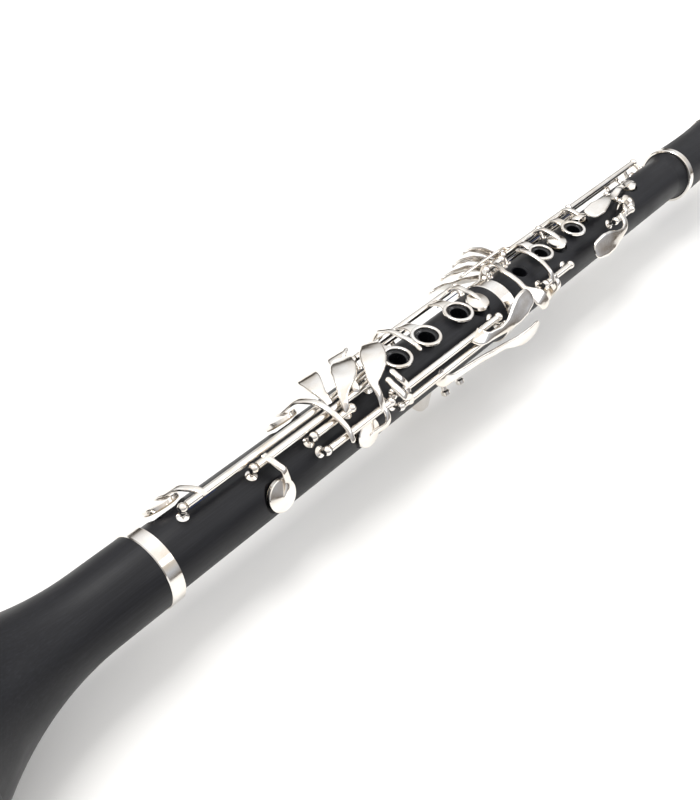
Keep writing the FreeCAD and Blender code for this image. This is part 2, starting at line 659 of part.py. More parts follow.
def lower_joint(holes):
    """The lower joint with its tenon, its socket and every hole."""
    start = "bell_len - low_tenon"
    ring_x = "lower_end - low_ring_w"
    floor = "lower_end - low_socket"
    body = turned_body("lower_joint_turned", [
        (start, "low_bore_end_r")] + tenon_outline(start, "bell_len", "low_tenon_r") + [
        ("bell_len", "low_bottom_r"), ("low_flare_x", "low_top_r", "arc"), (ring_x, "low_head_r"),
        (ring_x, "low_ring_seat_r"), ("lower_end", "low_ring_seat_r"), ("lower_end", "low_socket_r"),
        (floor, "low_socket_r"), (floor, "bore_r"), ("low_bore_flare_x", "bore_r"),
    ])
    doc.recompute()
    cutters = seat_cutters(holes)
    cutters += chimney_seats(LOWER_FINGERS, D["chimney_low_z"], D["chimney_r"], D["finger_hole_r"])
    cutters += [post_socket(x, LINES[line][0]) for line, x in LOWER_POSTS]
    cutters += rest_screw_holes() + pin_holes()
    cut_from("lower_joint", body, cutters, seat_rims(holes))
    turned("lower_joint_ring", ring_outline(ring_x, "lower_end", "low_ring_seat_r", "low_ring_r"))


def upper_joint(holes):
    """The upper joint with a tenon at each end and every hole."""
    start = "lower_end - mid_tenon"
    seat_end = "lower_end + up_ring_w"
    head = "upper_end - up_flare_w"
    end = "upper_end + top_tenon"
    low, high = tenon_outline(start, "lower_end", "mid_tenon_r"), tenon_outline("upper_end", end, "top_tenon_r")
    body = turned_body("upper_joint_turned", [(start, "bore_r")] + low + [
        ("lower_end", "up_ring_seat_r"), (seat_end, "up_ring_seat_r"), (seat_end, "up_bottom_r"),
        (head, "up_top_r", "arc"), ("upper_end", "up_head_r")] + high + [(end, "bore_r")])
    doc.recompute()
    cutters = seat_cutters(holes)
    cutters += chimney_seats(UPPER_FINGERS, D["chimney_up_z"], D["up_chimney_r"], D["up_hole_r"])
    x = D["left_three_x"]
    sink = Part.makeCone(D["plain_hole_r"], D["plain_hole_r"] + 1.6, 1.6, at(x, 0, joint_r(x) - 1.1), outward(0))
    cutters += [rod_up(x, 0, 1, 20, D["plain_hole_r"]).fuse(sink)]
    x = D["thumb_x"]
    low = joint_r(x) - D["chimney_depth"]
    cutters += [rod_up(x, 180, low, D["chimney_up_z"], D["up_chimney_r"]).fuse(rod_up(x, 180, 1, low + 1, 3))]
    cutters += [post_socket(x, LINES[line][0]) for line, x in UPPER_POSTS]
    cutters += saddle_sockets()
    cut_from("upper_joint", body, cutters, seat_rims(holes))
    turned("upper_joint_ring", ring_outline("lower_end", seat_end, "up_ring_seat_r", "up_ring_r"))


def barrel():
    """The barrel with its two sockets and two rings."""
    low_in, top_in = "upper_end + barrel_socket", "barrel_end - barrel_socket"
    low_ring, top_ring = "upper_end + barrel_ring_w", "barrel_end - barrel_ring_w"
    middle = str((D["upper_end"] + D["barrel_end"]) / 2)
    turned("barrel", [
        ("upper_end", "barrel_low_socket_r"), ("upper_end", "barrel_ring_seat_r"), (low_ring, "barrel_ring_seat_r"),
        (low_ring, "barrel_end_r", "arc_end"), (middle, "barrel_mid_r", "arc"), (top_ring, "barrel_end_r"),
        (top_ring, "barrel_ring_seat_r"), ("barrel_end", "barrel_ring_seat_r"),
        ("barrel_end", "barrel_top_socket_r"), (top_in, "barrel_top_socket_r"), (top_in, "bore_r"),
        (low_in, "bore_r"), (low_in, "barrel_low_socket_r"),
    ])
    ends = (("upper_end", low_ring), (top_ring, "barrel_end"))
    grouped("barrel_rings", [
        turned_body(f"barrel_ring_{i + 1}", ring_outline(a, b, "barrel_ring_seat_r", "barrel_ring_r"))
        for i, (a, b) in enumerate(ends)])


def slab(outline, half_width):
    """A solid of that side view, given as (x, z), and that half width each way along Y."""
    points = [V(x, -half_width, z) for x, z in outline]
    face = Part.Face(Part.makePolygon(points + points[:1]))
    return face.extrude(V(0, 2 * half_width, 0))


def mouthpiece():
    """The mouthpiece: turned outside, then cut for its table, its beak, its chamber and its window."""
    start = "barrel_end - mouth_tenon"
    cone = "barrel_end + mouth_cone"
    bore_end = "barrel_end + mouth_bore"
    body = turned_body("mouthpiece_turned", [
        (start, "bore_r")] + tenon_outline(start, "barrel_end", "mouth_tenon_r") + [
        ("barrel_end", "mouth_collar_r"), ("barrel_end + mouth_collar_w", "mouth_collar_r"),
        ("barrel_end + mouth_collar_w", "mouth_r"), (cone, "mouth_r"), ("tip_x", "mouth_tip_r"), ("tip_x", "0"),
        (bore_end, "0"), (bore_end, "bore_r"),
    ])
    doc.recompute()
    table = -D["table_drop"]
    tip_x, tip_z = D["tip_x"], table + D["tip_opening"]
    wide = 20.0
    table_cut = slab([(value("barrel_end + table_run"), -wide), (value("barrel_end + table_run"), table),
                      (tip_x - D["lay_run"], table), (tip_x + 1, tip_z), (tip_x + 1, -wide)], wide)
    beak_x = tip_x - D["beak_run"]
    beak_z = D["mouth_r"] - 0.4
    beak_cut = slab([(beak_x, wide), (beak_x, beak_z), (tip_x + 0.01, tip_z + D["tip_wall"]), (tip_x + 0.01, wide)], wide)
    rail = D["rail_t"]
    chamber = slab([(value(bore_end) - 14, -wide), (value(bore_end) - 14, 0), (value(bore_end) + 1, 6),
                    (tip_x - rail, tip_z + 0.2), (tip_x - rail, -wide)], D["window_w"] / 2)
    cut_from("mouthpiece", body, [table_cut, beak_cut, chamber])


def reed():
    """The cane reed: flat on the table, rounded on its bark and cut thin towards its tip."""
    table = -D["table_drop"]
    heel = value("barrel_end + reed_run")
    end = D["tip_x"] - 0.4
    side = slab([(heel, table), (end, table), (end, table - D["reed_tip_t"]),
                 (end - D["reed_vamp"], table - D["reed_t"]), (heel, table - D["reed_t"])], D["reed_w"])
    corners = [V(heel, -D["reed_heel_w"] / 2, -20), V(end, -D["reed_w"] / 2, -20), V(end, D["reed_w"] / 2, -20),
               V(heel, D["reed_heel_w"] / 2, -20)]
    plan = Part.Face(Part.makePolygon(corners + corners[:1])).extrude(V(0, 0, 20))
    round_bark = Part.makeCylinder(D["mouth_r"] - 0.1, end - heel + 2, V(heel - 1, 0, 0), X_DIR)
    feature("reed", side.common(plan).common(round_bark))


def ligature():
    """The metal band that clamps the reed, split below, with two lugs and two screws."""
    start = value("barrel_end + band_run")
    inner, outer, width = D["band_r"], D["band_r"] + D["band_t"], D["band_w"]
    band = Part.makeCylinder(outer, width, V(start, 0, 0), X_DIR)
    lug_low = -outer - D["lug_h"]
    lug_side = D["band_gap"] / 2 + D["lug_w"]
    lugs = Part.makeBox(width - 3, 2 * lug_side, D["lug_h"] + 2, V(start + 1.5, -lug_side, lug_low))
    gap = Part.makeBox(width + 2, D["band_gap"], D["lug_h"] + 4, V(start - 1, -D["band_gap"] / 2, lug_low - 1))
    screw_z = -outer - D["lug_h"] / 2
    screws = []
    whole = band.fuse(lugs).cut(Part.makeCylinder(inner, width + 2, V(start - 1, 0, 0), X_DIR)).cut(gap)
    for side in (-1, 1):
        x = start + (width + side * D["band_screw_gap"]) / 2
        far = lug_side + 1
        shank = Part.makeCylinder(D["band_screw_r"], 2 * far, V(x, -far, screw_z), V(0, 1, 0))
        whole = whole.cut(shank)
        knob = Part.makeCylinder(D["band_knob_r"], D["band_knob_w"], V(x, far, screw_z), V(0, 1, 0))
        screws.append(shank.fuse(knob))
    feature("ligature", whole)
    feature("ligature_screws", Part.makeCompound(screws))


# ---------------------------------------------------------------- the thumb rest

def rest_screw_places():
    """The places along the bore of the thumb rest's two screws."""
    return [D["rest_x"] + side * D["screw_spacing"] / 2 for side in (-1, 1)]


def rest_screw_holes():
    """The holes in the lower joint that take the thumb rest's screws."""
    return [rod_up(x, 180, joint_r(x) - 4, joint_r(x) + 4, D["screw_r"]) for x in rest_screw_places()]


def thumb_rest():
    """A curved plate with a hook for the thumb and a ring for a neck strap, and its two screws."""
    x, plate_r = D["rest_x"], joint_r(D["rest_x"]) + 0.05
    outer = plate_r + D["rest_t"]
    start = x - D["rest_len"] / 2
    shell = Part.makeCylinder(outer, D["rest_len"], V(start, 0, 0), X_DIR)
    wide = outer * math.sin(math.radians(D["rest_half_a"]))
    plate = shell.common(Part.makeBox(D["rest_len"], 2 * wide, 2 * outer, V(start, -wide, -2 * outer)))
    half_w, thick = D["hook_w"] / 2, D["hook_t"]
    tall = D["hook_reach"] - plate_r
    shelf = Part.makeBox(thick, D["hook_w"], tall - half_w, V(x - thick / 2, -half_w, -D["hook_reach"] + half_w))
    nose = Part.makeCylinder(half_w, thick, V(x - thick / 2, 0, -D["hook_reach"] + half_w), X_DIR)
    gusset = slab([(x, -plate_r), (x, -plate_r - 9), (x + 5, -plate_r)], 1.2)
    ring_z = -plate_r - D["strap_ring_r"] - 0.2
    loop = Part.makeCylinder(D["strap_ring_r"], D["strap_ring_t"], V(D["strap_x"], -D["strap_ring_t"] / 2, ring_z),
                             V(0, 1, 0))
    stub = Part.makeBox(start + 3 - D["strap_x"], D["strap_ring_t"], 3,
                        V(D["strap_x"], -D["strap_ring_t"] / 2, -outer - 1.6))
    whole = fused([plate, shelf, nose, gusset, loop, stub])
    whole = whole.cut(Part.makeCylinder(plate_r, 80, V(x - 40, 0, 0), X_DIR))
    whole = whole.cut(Part.makeCylinder(D["strap_hole_r"], 20, V(D["strap_x"], -10, ring_z), V(0, 1, 0)))
    screws = []
    for place in rest_screw_places():
        shank = rod_up(place, 180, joint_r(place) - 4, outer + 0.1, D["screw_r"])
        head = rod_up(place, 180, outer, outer + D["screw_head_h"], D["screw_head_r"])
        screws.append(shank.fuse(head))
        whole = whole.cut(screws[-1])
    feature("thumb_rest", whole)
    feature("thumb_rest_screws", Part.makeCompound(screws))


# ---------------------------------------------------------------- keys of the lower joint

ARM_W = 3.2
ARM_T = 1.6
OVER_R = D["front_line_r"] + D["tube_r"] + 1.35
TOUCH_R = 26.4
TOUCH_T = 2.2


def padded(label, place, line, opening=0.0):
    """The cup of the key at that padded hole, opened by that many degrees; its pad is kept apart."""
    x, angle, cup_r = place
    hinge = LINES[line]
    pad_shape = swung(pad(x, angle, seat_r(x), cup_r), x, *hinge, opening)
    feature(label + "_pad", pad_shape)
    return swung(cup(x, angle, seat_r(x), cup_r), x, *hinge, opening)


def opened_arm(stations, line, opening, **ends):
    """A blade drawn with its key closed, turned with it to where it rests."""
    return swung(blade(stations, **ends), 0, *LINES[line], opening)


def low_e_key():
    """The E and B key: its pad stands open beside the bell and its touch is the outer one of the four."""
    place = (D["eb_x"], D["eb_a"], D["eb_cup_r"])
    top = cup_top(D["eb_x"]) + 0.2
    line_a, line_r = LINES["one"]
    arm = opened_arm([
        (132, line_a - 4, line_r + 0.6, ARM_W, ARM_T), (130.5, line_a + 8, line_r + 0.9, ARM_W, ARM_T),
        (127, 30, 20.6, ARM_W, ARM_T), (124, 44, top + 0.3, ARM_W, 1.3),
        (D["eb_x"], D["eb_a"], top - 0.2, 2.6, 1.0)], "one", D["eb_open"], round_end=True)
    touch = blade([
        (206, line_a - 6, line_r + 0.8, 4.2, ARM_T), (206.3, line_a + 7, OVER_R, 5, 1.8),
        (207.5, 21, 25, 8, TOUCH_T), (210, 34, TOUCH_R, 11, TOUCH_T), (213, 46, TOUCH_R + 0.3, 12.4, TOUCH_T),
        (216, 54, TOUCH_R, 11, TOUCH_T)], round_end=True)
    key("low_e_key", "one", 122.9, 235.1, [arm, padded("low_e_key", place, "one", D["eb_open"]), touch])


def low_f_key():
    """The F and C key: an open pad above the E key's, on a short tube with an arm over the long ones."""
    place = (D["fc_x"], D["fc_a"], D["fc_cup_r"])
    top = cup_top(D["fc_x"]) + 0.2
    line_a, line_r = LINES["three"]
    arm = opened_arm([
        (203, -51, OVER_R, 2.6, ARM_T), (203, -38, OVER_R, 2.8, ARM_T),
        (202, line_a, OVER_R, ARM_W, ARM_T), (200, 5, OVER_R - 0.3, ARM_W, ARM_T), (197, 30, 21.4, ARM_W, ARM_T),
        (193.5, 46, top + 0.3, ARM_W, 1.3), (D["fc_x"], D["fc_a"], top - 0.2, 2.6, 1.0)],
        "three", D["fc_open"], round_start=True, round_end=True)
    saddle = rod_up(202.5, line_a, line_r, OVER_R, 1.3)
    touch = blade([
        (209.3, line_a - 1, line_r + 0.9, 3.4, ARM_T), (209.8, line_a + 8, OVER_R + 0.3, 3.6, ARM_T),
        (212.4, -6, 25.4, 5, 1.8), (216, 1, 26.8, 8.5, TOUCH_T), (220.5, 9, TOUCH_R + 0.6, 11.8, TOUCH_T),
        (224.5, 17, TOUCH_R + 0.6, 12.2, TOUCH_T), (228, 24, TOUCH_R + 0.2, 10.5, TOUCH_T)], round_end=True)
    key("low_f_key", "three", 189.9, 211.1, [arm, saddle, padded("low_f_key", place, "three", D["fc_open"]), touch])


def low_f_sharp_key():
    """The F sharp and C sharp key: a closed pad on the right, on the second long tube."""
    place = (D["fs_x"], D["fs_a"], D["fs_cup_r"])
    top = cup_top(D["fs_x"]) + 0.1
    line_a, line_r = LINES["two"]
    arm = blade([
        (163.5, line_a + 5, line_r + 0.6, ARM_W, ARM_T), (164, line_a - 8, line_r + 1.2, ARM_W, ARM_T),
        (166, -32, line_r + 0.4, ARM_W, ARM_T), (166.5, -46, top + 0.6, ARM_W, ARM_T),
        (165, -57, top + 0.1, ARM_W, 1.2), (D["fs_x"], D["fs_a"], top - 0.2, 2.4, 1.0)], round_end=True)
    touch = blade([
        (220.5, line_a - 1, line_r + 0.9, 3.8, ARM_T), (221.5, line_a + 9, OVER_R + 0.2, 3.8, 1.2),
        (222.5, 9, OVER_R - 0.1, 3.8, 1.2), (225, 21, 21.4, 4, ARM_T), (228, 32, 21.4, 4.4, ARM_T),
        (230.5, 39, 23, 6, ARM_T), (233, 44.5, 25.4, 9.5, TOUCH_T), (236.5, 50, TOUCH_R, 11.6, TOUCH_T),
        (239.5, 55, TOUCH_R, 10.5, TOUCH_T)], round_end=True)
    key("low_f_sharp_key", "two", 157.9, 229.1, [arm, padded("low_f_sharp_key", place, "two"), touch])


def low_a_flat_key():
    """The A flat and E flat key: a closed pad on the right and a touch that reaches over both long tubes."""
    place = (D["ab_x"], D["ab_a"], D["ab_cup_r"])
    top = cup_top(D["ab_x"]) + 0.1
    line_a, line_r = LINES["right"]
    arm = blade([
        (227, line_a + 8, line_r + 1.0, 2.8, ARM_T), (227.5, line_a - 10, line_r + 1.4, 2.8, ARM_T),
        (226.5, -64, 21.4, 2.8, ARM_T), (223, -71, top + 0.8, ARM_W, ARM_T),
        (D["ab_x"], D["ab_a"], top - 0.2, 2.4, 1.0)], round_end=True)
    touch = blade([
        (226.6, line_a - 2, line_r + 0.9, 3.4, ARM_T), (226.8, line_a + 14, 23.6, 3.4, ARM_T),
        (227.4, -18, 25.6, 4.4, ARM_T), (230.5, -10.5, 26.4, 7.4, TOUCH_T), (235, -2, 27.1, 11.4, TOUCH_T),
        (239, 6, 27.3, 12.6, TOUCH_T), (242.6, 13.5, 27, 11.4, TOUCH_T)], round_end=True)
    key("low_a_flat_key", "right", 191.9, 231.6, [arm, padded("low_a_flat_key", place, "right"), touch])


def left_e_lever():
    """The left little finger's E lever, on the inner of the two right-hand rods."""
    line_a, line_r = LINES["lever"]
    web = blade([
        (298, line_a + 1, line_r + 0.9, 9, ARM_T), (300, line_a - 6, 22.8, 8, ARM_T),
        (305, -55, 23.6, 4.6, ARM_T), (314, -58, 23.8, 4.2, ARM_T), (321, -57, 24.0, 6, ARM_T),
        (327, -53, 24.4, 10, ARM_T), (333, -48, 24.6, 12, ARM_T), (338.5, -45, 24.4, 10.5, ARM_T)], round_end=True)
    arm = blade([
        (244.6, line_a - 6, line_r + 0.7, 3, ARM_T), (244.4, line_a + 6, line_r + 2, 3, ARM_T),
        (242.4, -30, OVER_R, 3.2, ARM_T), (241.4, -19, OVER_R, 3.2, ARM_T)], round_end=True)
    key("left_e_lever", "lever", 242.9, 317.1, [web, arm])


def left_f_sharp_lever():
    """The left little finger's F sharp lever, on the outer of the two right-hand rods."""
    line_a, line_r = LINES["outer"]
    web = blade([
        (266, line_a + 3, line_r + 0.4, 8, ARM_T), (269, line_a - 8, line_r + 0.8, 7, ARM_T),
        (275, -73, 21.2, 4.2, ARM_T), (296, -77, 22, 3.6, ARM_T), (318, -84, 23.2, 4, ARM_T),
        (327, -89, 24, 7, ARM_T), (334, -91, 24.6, 11, ARM_T), (341, -91, 24.6, 11.5, ARM_T)], round_end=True)
    arm = blade([
        (243.6, line_a - 4, line_r + 0.8, 3, ARM_T), (243.2, line_a + 6, 22.6, 3, ARM_T),
        (238.6, -47, OVER_R + 0.6, 3.4, ARM_T), (236.6, -34, OVER_R + 0.6, 3.6, ARM_T),
        (236, -24, OVER_R + 0.5, 3.4, ARM_T)], round_end=True)
    key("left_f_sharp_lever", "outer", 239.9, 320.1, [web, arm])


def lower_ring_key():
    """The three rings of the right hand and the pad that they close together."""
    opening = -D["ring_open"]
    place = (D["ringpad_x"], D["ringpad_a"], D["ringpad_cup_r"])
    line_a, line_r = LINES["rings"]
    shapes = [swung(ring(x, D["chimney_r"], D["chimney_low_z"]), x, line_a, line_r, opening) for x in LOWER_FINGERS]
    edge = D["chimney_r"] + D["ring_gap"] + D["ring_w"] * 0.5
    ring_z = D["chimney_low_z"] - D["ring_t"] / 2
    near_a = math.degrees(math.atan2(edge, ring_z))
    near_r = math.hypot(edge, ring_z)
    for x in LOWER_FINGERS:
        shapes.append(opened_arm([
            (x, line_a + 3, line_r + 0.3, 7, ARM_T), (x, 46, 19.4, 5.4, ARM_T), (x, 34, 18.2, 5.4, ARM_T),
            (x, near_a, near_r, 7.5, D["ring_t"] * 0.9)], "rings", opening))
    top = cup_top(D["ringpad_x"]) + 0.1
    shapes.append(opened_arm([
        (320.5, line_a + 3, line_r + 0.4, 4.6, ARM_T), (320.5, 42, 20.4, 3.2, ARM_T), (319.6, 20, top + 0.5, 3, 1.4),
        (318.8, 6, top + 0.3, 2.6, 1.2), (D["ringpad_x"], D["ringpad_a"], top - 0.2, 2.2, 1.0)],
        "rings", opening, round_end=True))
    shapes.append(padded("lower_ring_key", place, "rings", opening))
    key("lower_ring_key", "rings", 246.4, 324.1, shapes)


def sliver_key():
    """The B and F sharp key: a narrow blade between two rings, whose closed pad is on the left."""
    place = (D["sliver_x"], D["sliver_a"], D["middle_cup_r"])
    top = cup_top(D["sliver_x"]) + 0.1
    line_a, line_r = LINES["sliver"]
    touch = blade([
        (267.2, line_a + 1, line_r + 0.9, 4, ARM_T), (267.2, line_a - 9, 22.8, 3.4, ARM_T),
        (267.2, 58, 24, 3, ARM_T), (267.2, 42, 22.6, 2.8, ARM_T), (267.2, 20, 19.9, 2.8, ARM_T),
        (267.2, -12, 18.6, 2.6, ARM_T)], round_end=True)
    arm = blade([
        (D["sliver_x"], line_a - 5, line_r + 0.8, ARM_W, ARM_T), (D["sliver_x"], line_a + 12, 20.8, ARM_W, ARM_T),
        (D["sliver_x"], D["sliver_a"], top - 0.4, ARM_W, ARM_T)], round_end=True)
    key("sliver_key", "sliver", 261.9, 289.1, [touch, arm, padded("sliver_key", place, "sliver")])


# ---------------------------------------------------------------- keys of the upper joint

def c_sharp_key():
    """The C sharp and G sharp key: an arm arched over the joint from its touch on the right."""
    place = (D["arc_x"], D["arc_a"], D["middle_cup_r"])
    top = cup_top(D["arc_x"]) + 0.1
    line_a, line_r = LINES["arc"]
    arch = blade([
        (352, line_a + 4, line_r + 0.4, 4, ARM_T), (351.4, line_a - 6, 19.2, 3.4, ARM_T),
        (349.6, line_a - 18, 19.0, 3, ARM_T), (346, 6, 18.9, 3, ARM_T), (346, -12, 18.9, 3, ARM_T), (346.5, -34, 19.4, 3.4, ARM_T),
        (348.5, -46, 20.6, 6, ARM_T), (351, -56, 22, 9, ARM_T), (353, -65, 22.6, 8, ARM_T)], round_end=True)
    arm = blade([
        (D["arc_x"], line_a - 4, line_r + 0.8, ARM_W, ARM_T), (D["arc_x"], 58, 20, ARM_W, ARM_T),
        (D["arc_x"], D["arc_a"], top - 0.4, ARM_W, ARM_T)], round_end=True)
    key("c_sharp_key", "arc", 347.9, 357.6, [arch, arm, padded("c_sharp_key", place, "arc")])


def upper_ring_arm(x, opening):
    """The arm from the upper ring keys' tube to a ring."""
    line_a, line_r = LINES["uprings"]
    edge = D["up_chimney_r"] + D["ring_gap"] + D["ring_w"] * 0.5
    ring_z = D["chimney_up_z"] - D["ring_t"] / 2
    return opened_arm([
        (x, line_a + 3, line_r + 0.3, 5.6, ARM_T), (x, 38, 18.6, 4.6, ARM_T),
        (x, math.degrees(math.atan2(edge, ring_z)), math.hypot(edge, ring_z), 6, D["ring_t"] * 0.9)],
        "uprings", opening)


def upper_pad_arm(x, angle, opening):
    """The arm from the upper ring keys' tube to a pad cup."""
    line_a, line_r = LINES["uprings"]
    top = cup_top(x) + 0.1
    return opened_arm([
        (x, line_a + 3, line_r + 0.5, 3.8, ARM_T), (x, (line_a + angle) / 2 + 6, 20.0, 3.2, ARM_T),
        (x, angle, top - 0.4, 3.2, ARM_T)], "uprings", opening, round_end=True)


def bridge_key():
    """The left second finger's ring, its pad, and the bridge that meets the lower joint's ring key."""
    opening = -D["upring_open"]
    place = (D["twin_x"], D["twin_a"], D["middle_cup_r"])
    line_a, line_r = LINES["uprings"]
    x = D["left_two_x"]
    bridge = blade([
        (371, line_a - 4, line_r + 0.8, 3.6, ARM_T), (369.6, line_a + 2, 21.6, 3.6, ARM_T), (364, 51, 22.4, 3.6, ARM_T),
        (356, 51, 22.6, 3.6, ARM_T), (344, 53, 22.6, 4, ARM_T), (334, 56, 22.4, 4.6, ARM_T)], round_end=True)
    shapes = [swung(ring(x, D["up_chimney_r"], D["chimney_up_z"]), x, line_a, line_r, opening),
              upper_ring_arm(x, opening), upper_pad_arm(D["twin_x"], D["twin_a"], opening), bridge,
              padded("bridge_key", place, "uprings", opening)]
    key("bridge_key", "uprings", 366.9, 398.1, shapes)


def upper_ring_key():
    """The left first finger's ring and its small pad."""
    opening = -D["upring_open"]
    place = (D["upper_x"], D["upper_a"], D["small_cup_r"])
    line_a, line_r = LINES["uprings"]
    x = D["left_one_x"]
    shapes = [swung(ring(x, D["up_chimney_r"], D["chimney_up_z"]), x, line_a, line_r, opening),
              upper_ring_arm(x, opening), upper_pad_arm(D["upper_x"], D["upper_a"], opening),
              padded("upper_ring_key", place, "uprings", opening)]
    key("upper_ring_key", "uprings", 401.9, 429.1, shapes)


def cross_key():
    """The cross E flat key: a blade over the joint between the third hole and the second ring."""
    place = (D["cross_x"], D["cross_a"], D["middle_cup_r"])
    top = cup_top(D["cross_x"]) + 0.1
    line_a, line_r = LINES["cross"]
    touch = blade([
        (368.2, line_a - 4, line_r + 0.8, 3.4, ARM_T), (368.2, line_a + 12, 20.4, 3, ARM_T),
        (368.4, -10, 19.6, 2.8, ARM_T), (368.8, 14, 19.4, 2.8, ARM_T), (369.2, 27, 19.2, 2.6, ARM_T)], round_end=True)
    arm = blade([
        (D["cross_x"], line_a + 4, line_r + 0.8, ARM_W, ARM_T), (D["cross_x"], line_a - 14, 20.4, ARM_W, ARM_T),
        (D["cross_x"], D["cross_a"], top - 0.4, ARM_W, ARM_T)], round_end=True)
    key("cross_key", "cross", 364.4, 385.1, [touch, arm, padded("cross_key", place, "cross")])


def g_sharp_key():
    """The throat G sharp key, whose touch is on the right."""
    place = (D["gsharp_x"], D["gsharp_a"], D["small_cup_r"])
    top = cup_top(D["gsharp_x"]) + 0.1
    line_a, line_r = LINES["gsharp"]
    touch = blade([
        (445, line_a + 3, line_r + 0.8, 4.5, ARM_T), (442.5, line_a - 12, 20.8, 3.8, ARM_T),
        (437, -56, 21.8, 4, ARM_T), (430.5, -57, 22.4, 7, ARM_T), (423.5, -56, 22.8, 11.2, ARM_T),
        (416.5, -55, 22.8, 12.6, ARM_T), (411.5, -54.5, 22.6, 11, ARM_T)], round_end=True)
    arm = blade([
        (448, line_a - 2, line_r + 0.9, ARM_W, ARM_T), (449.5, line_a + 7, 20.4, ARM_W, ARM_T),
        (455.5, -25, top + 1.2, ARM_W, ARM_T), (D["gsharp_x"], D["gsharp_a"], top - 0.4, ARM_W, ARM_T)], round_end=True)
    key("g_sharp_key", "gsharp", 439.9, 453.6, [touch, arm, padded("g_sharp_key", place, "gsharp")])


# The stations of each side key's touch, which fan out from the joint one above the other.
SIDE_TOUCHES = [
    [(361, 62.5, 26, 4.2, ARM_T), (355.5, 59, 29, 4.4, ARM_T), (350, 57.5, 31, 4.6, ARM_T),
     (346, 57, 31.6, 4.4, ARM_T)],
    [(361, 76, 25.2, 4, ARM_T), (353, 69.5, 27.8, 4.2, ARM_T), (345, 66.5, 29.3, 4.4, ARM_T),
     (338, 65, 29.6, 4.2, ARM_T)],
    [(361, 90, 24.6, 3.8, ARM_T), (350, 80, 26.6, 4, ARM_T), (337, 74, 27.8, 4.2, ARM_T),
     (329, 72, 28, 4, ARM_T)],
    [(361, 104, 24, 3.6, ARM_T), (350, 95, 24.4, 3.8, ARM_T), (335, 84, 24.4, 4, ARM_T),
     (321, 70, 24.8, 4.6, ARM_T), (313, 64, 25, 4.4, ARM_T)],
]


def side_key(number):
    """One of the four side keys: a long touch for the right first finger and a small pad far above it."""
    i = number - 1
    x = [D["side_one_x"], D["side_two_x"], D["side_three_x"], D["side_four_x"]][i]
    angle = side_pad_angle(i)
    line = f"side_{number}"
    line_a, line_r = LINES[line]
    top = cup_top(x) + 0.1
    touch = blade(
        [(371, line_a + 1, line_r + 0.8, 4, ARM_T), (366, line_a - 2, line_r + 3.4, 4, ARM_T)] + SIDE_TOUCHES[i],
        round_end=True)
    arm = blade([
        (x, line_a - 1, line_r + 0.9, ARM_W, ARM_T), (x, line_a + 12, line_r + 1.0, ARM_W, ARM_T),
        (x, angle, top - 0.4, ARM_W, ARM_T)], round_end=True)
    place = (x, angle, D["small_cup_r"])
    end = {1: 511.1, 2: 493.1, 3: 444.1, 4: 428.1}[number]
    key(f"side_key_{number}", line, 362.9, end, [touch, arm, padded(f"side_key_{number}", place, line)])


def thumb_ring_key():
    """The ring about the left thumb's hole."""
    opening = D["thumb_open"]
    line_a, line_r = LINES["thumb"]
    x = D["thumb_x"]
    flipped = ring(x, D["up_chimney_r"], D["chimney_up_z"])
    flipped.rotate(V(x, 0, 0), X_DIR, 180)
    edge = D["up_chimney_r"] + D["ring_gap"] + D["ring_w"] * 0.5
    ring_z = D["chimney_up_z"] - D["ring_t"] / 2
    near_a = 180 - math.degrees(math.atan2(edge, ring_z))
    arm = blade([
        (x - 2.4, line_a - 4, line_r + 0.2, 4.4, ARM_T), (x - 2.4, line_a + 3, line_r + 0.4, 4.2, ARM_T),
        (x - 1.4, near_a, math.hypot(edge, ring_z), 4.4, D["ring_t"] * 0.9)])
    key("thumb_ring_key", "thumb", 393.9, 412.6,
        [swung(shape, x, line_a, line_r, opening) for shape in (flipped, arm)])


# ---------------------------------------------------------------- keys on crosswise hinges

# Each saddle is (x, angle of the side it stands on, radius of its hinge).
def saddles():
    """The two crosswise hinges: the throat A key's in front and the register key's behind."""
    return {
        "throat": (D["throat_pivot_x"], 0.0, D["throat_pivot_r"]),
        "register": (D["register_pivot_x"], 180.0, D["register_pivot_r"]),
    }


def saddle_axis(angle):
    """The direction of a crosswise hinge on that side of the joint."""
    return X_DIR.cross(outward(angle))


def saddle_sockets():
    """The holes for the crosswise hinges' posts."""
    return [saddle_post(x, angle, radius, side, 0.0)
            for x, angle, radius in saddles().values() for side in (-1, 1)]


def saddle_post(x, angle, radius, side, screw_r):
    """One of the two small posts of a crosswise hinge, with a hole for its screw."""
    half_w, thick = D["saddle_half_w"], 1.0
    centre = at(x, angle, radius) + saddle_axis(angle) * (side * half_w)
    root = at(x, angle, joint_r(x) - 4) + saddle_axis(angle) * (side * half_w)
    stem = Part.makeCylinder(thick, radius - joint_r(x) + 4, root, outward(angle))
    whole = stem.fuse(Part.makeSphere(1.7, centre))
    if screw_r:
        whole = whole.cut(Part.makeCylinder(screw_r, 8, centre - saddle_axis(angle) * 4, saddle_axis(angle)))
    return whole


def saddle_pieces():
    """The posts and the screws of both crosswise hinges."""
    solids, screws = [], []
    for x, angle, radius in saddles().values():
        solids += [saddle_post(x, angle, radius, side, D["rod_r"] * 0.8) for side in (-1, 1)]
        reach = D["saddle_half_w"] + 1.7
        start = at(x, angle, radius) - saddle_axis(angle) * reach
        screws.append(Part.makeCylinder(D["rod_r"] * 0.8, 2 * reach, start, saddle_axis(angle)))
    return solids, screws


